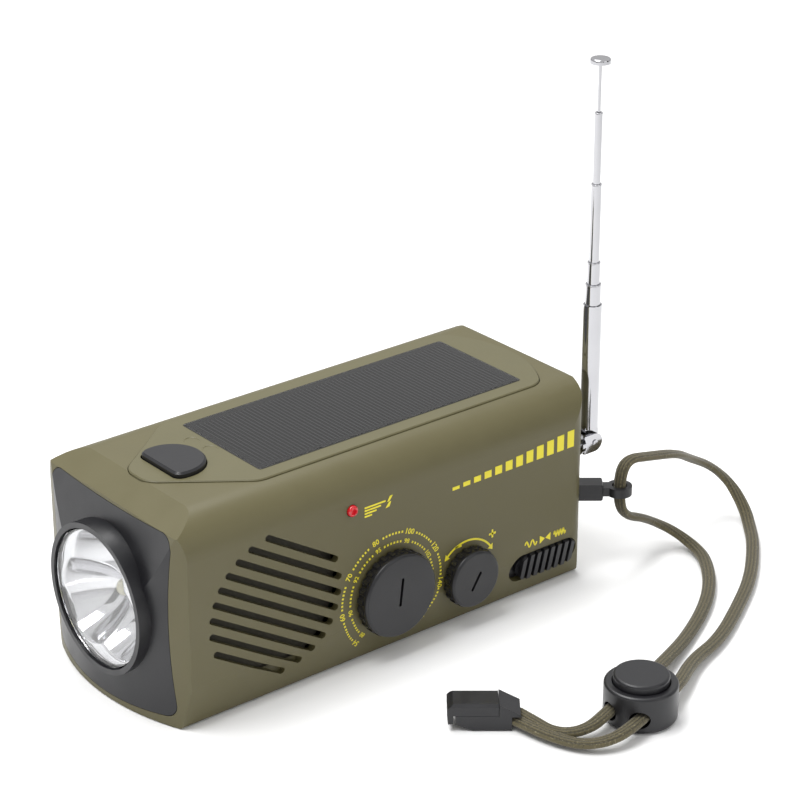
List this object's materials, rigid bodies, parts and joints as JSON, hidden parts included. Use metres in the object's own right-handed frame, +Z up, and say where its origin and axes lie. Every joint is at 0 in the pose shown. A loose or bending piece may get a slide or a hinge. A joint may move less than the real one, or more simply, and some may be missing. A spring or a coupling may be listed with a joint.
{
  "type": "emergency radio",
  "caption": "Hand-cranked emergency radio with front lamp, solar top panel, speaker grille, dial knobs, folding telescopic antenna and a wrist cord with lock and end clip.",
  "frame": {"origin": "on the flat base under the casing, midway between its sides", "axes": "+X towards the tail, -X the lamp; -Y the control side, +Y the crank side; +Z up"},
  "size_m": [0.2171, 0.156, 0.1585],
  "materials": {
    "olive_casing": "moulded satin",
    "olive_deck": "moulded satin",
    "black_satin": "satin",
    "black_rubber": "matt",
    "solar_cells": "dark cells with fine lines",
    "clear_window": "clear",
    "mirror_coat": "faceted",
    "led_dome": "clear",
    "red_lens": "gloss",
    "green_board": "coated",
    "switch_plastic": "moulded",
    "chrome": "polished",
    "steel": "plain",
    "gear_plastic": "moulded",
    "grille_cloth": "woven",
    "paper_cone": "pressed paper",
    "ferrite": "sintered",
    "copper_coil": "wound wire",
    "cell_wrap": "shrink wrap",
    "olive_cord": "braided"
  },
  "bodies": {
    "casing": {"band_switch": "black_satin", "battery_cells": "cell_wrap", "charge_led": "red_lens", "cord_end_body": "black_satin", "cord_end_cover": "black_satin", "cord_lock_body": "black_satin", "cord_lock_spring": "steel", "far_housing": "olive_casing", "ferrite_coil": "copper_coil", "ferrite_rod": "ferrite", "generator": "steel", "housing_screws": "steel", "idler_pin": "steel", "lamp_bezel": "black_satin", "lamp_board": "green_board", "lamp_leds": "led_dome", "lamp_lens": "clear_window", "lamp_reflector": "mirror_coat", "lamp_switch": "switch_plastic", "main_board": "green_board", "near_housing": "olive_casing", "solar_cells": "solar_cells", "solar_window": "clear_window", "speaker_cone": "paper_cone", "speaker_frame": "steel", "speaker_magnet": "steel", "speaker_screen": "grille_cloth", "strap_lug": "black_satin", "top_deck": "olive_deck", "tuning_capacitor": "switch_plastic", "usb_socket": "steel", "volume_pot": "switch_plastic", "wrist_cord_inner": "olive_cord", "wrist_cord_outer": "olive_cord"},
    "lamp_button": {"lamp_button": "black_satin"},
    "tuning_control": {"tuning_knob": "black_satin", "tuning_shaft": "steel"},
    "volume_control": {"volume_knob": "black_satin", "volume_shaft": "steel"},
    "band_slider": {"band_slider": "black_satin"},
    "crank": {"crank_arm": "black_satin", "crank_axle": "steel", "drive_gear": "gear_plastic", "grip_pin": "steel"},
    "grip_post": {"grip_post": "black_satin"},
    "crank_grip": {"crank_grip": "black_satin"},
    "idler": {"idler_gear": "gear_plastic"},
    "rotor": {"rotor_pinion": "gear_plastic", "rotor_shaft": "steel"},
    "antenna_fork": {"antenna_fork": "chrome", "antenna_pin": "chrome"},
    "antenna_base": {"antenna_base": "chrome"},
    "antenna_2": {"antenna_tube_2": "chrome"},
    "antenna_3": {"antenna_tube_3": "chrome"},
    "antenna_4": {"antenna_tube_4": "chrome"},
    "antenna_5": {"antenna_tube_5": "chrome"},
    "antenna_rod": {"antenna_rod": "chrome"},
    "port_cover": {"port_cover": "black_rubber"},
    "lock_button": {"cord_lock_button": "black_satin"}
  },
  "joints": [
    {"name": "lamp_press", "type": "slide", "parent": "casing", "child": "lamp_button", "axis": [0, 0, -1], "range_m": [0, 0.0012], "stiffness_N_per_m": 400, "springref_m": -0.0015},
    {"name": "tuning_turn", "type": "hinge", "parent": "casing", "child": "tuning_control", "pos_m": [0.0019, -0.0334, 0.0198], "axis": [0, -1, 0], "range_deg": [-150, 150]},
    {"name": "volume_turn", "type": "hinge", "parent": "casing", "child": "volume_control", "pos_m": [0.0297, -0.0334, 0.0156], "axis": [0, -1, 0], "range_deg": [-150, 150]},
    {"name": "band_slide", "type": "slide", "parent": "casing", "child": "band_slider", "axis": [1, 0, 0], "range_m": [-0.0028, 0]},
    {"name": "crank_turn", "type": "hinge", "parent": "casing", "child": "crank", "pos_m": [0.02, 0.0334, 0.034], "axis": [0, 1, 0], "continuous": true},
    {"name": "grip_fold", "type": "hinge", "parent": "crank", "child": "grip_post", "pos_m": [-0.007, 0.0382, 0.034], "axis": [0, 0, 1], "range_deg": [0, 90]},
    {"name": "grip_spin", "type": "hinge", "parent": "grip_post", "child": "crank_grip", "pos_m": [0.003, 0.0382, 0.034], "axis": [1, 0, 0], "continuous": true},
    {"name": "idler_turn", "type": "hinge", "parent": "casing", "child": "idler", "pos_m": [0.00068, 0.0274, 0.034], "axis": [0, 1, 0], "continuous": true},
    {"name": "rotor_turn", "type": "hinge", "parent": "casing", "child": "rotor", "pos_m": [-0.01144, 0.0244, 0.034], "axis": [0, 1, 0], "continuous": true},
    {"name": "antenna_swivel", "type": "hinge", "parent": "casing", "child": "antenna_fork", "pos_m": [0.078, -0.026, 0.04], "axis": [1, 0, 0], "range_deg": [-90, 0]},
    {"name": "antenna_tilt", "type": "hinge", "parent": "antenna_fork", "child": "antenna_base", "pos_m": [0.0834, -0.026, 0.04], "axis": [0, 1, 0], "range_deg": [0, 90]},
    {"name": "antenna_slide_2", "type": "slide", "parent": "antenna_base", "child": "antenna_2", "axis": [0, 0, 1], "range_m": [-0.0064, 0.022]},
    {"name": "antenna_slide_3", "type": "slide", "parent": "antenna_2", "child": "antenna_3", "axis": [0, 0, 1], "range_m": [-0.0064, 0.022]},
    {"name": "antenna_slide_4", "type": "slide", "parent": "antenna_3", "child": "antenna_4", "axis": [0, 0, 1], "range_m": [-0.0232, 0.005]},
    {"name": "antenna_slide_5", "type": "slide", "parent": "antenna_4", "child": "antenna_5", "axis": [0, 0, 1], "range_m": [-0.0208, 0.006]},
    {"name": "antenna_slide_rod", "type": "slide", "parent": "antenna_5", "child": "antenna_rod", "axis": [0, 0, 1], "range_m": [-0.0142, 0.012]},
    {"name": "port_cover_hinge", "type": "hinge", "parent": "casing", "child": "port_cover", "pos_m": [0.064, 0.0346, 0.0212], "axis": [1, 0, 0], "range_deg": [0, 110]},
    {"name": "lock_press", "type": "slide", "parent": "casing", "child": "lock_button", "axis": [0, 0, -1], "range_m": [0, 0.0019], "stiffness_N_per_m": 500, "springref_m": -0.001, "deforming": ["cord_lock_spring"]}
  ],
  "couplings": [
    {"joint": "idler_turn", "follows": "crank_turn", "ratio": -3},
    {"joint": "rotor_turn", "follows": "crank_turn", "ratio": 9}
  ]
}
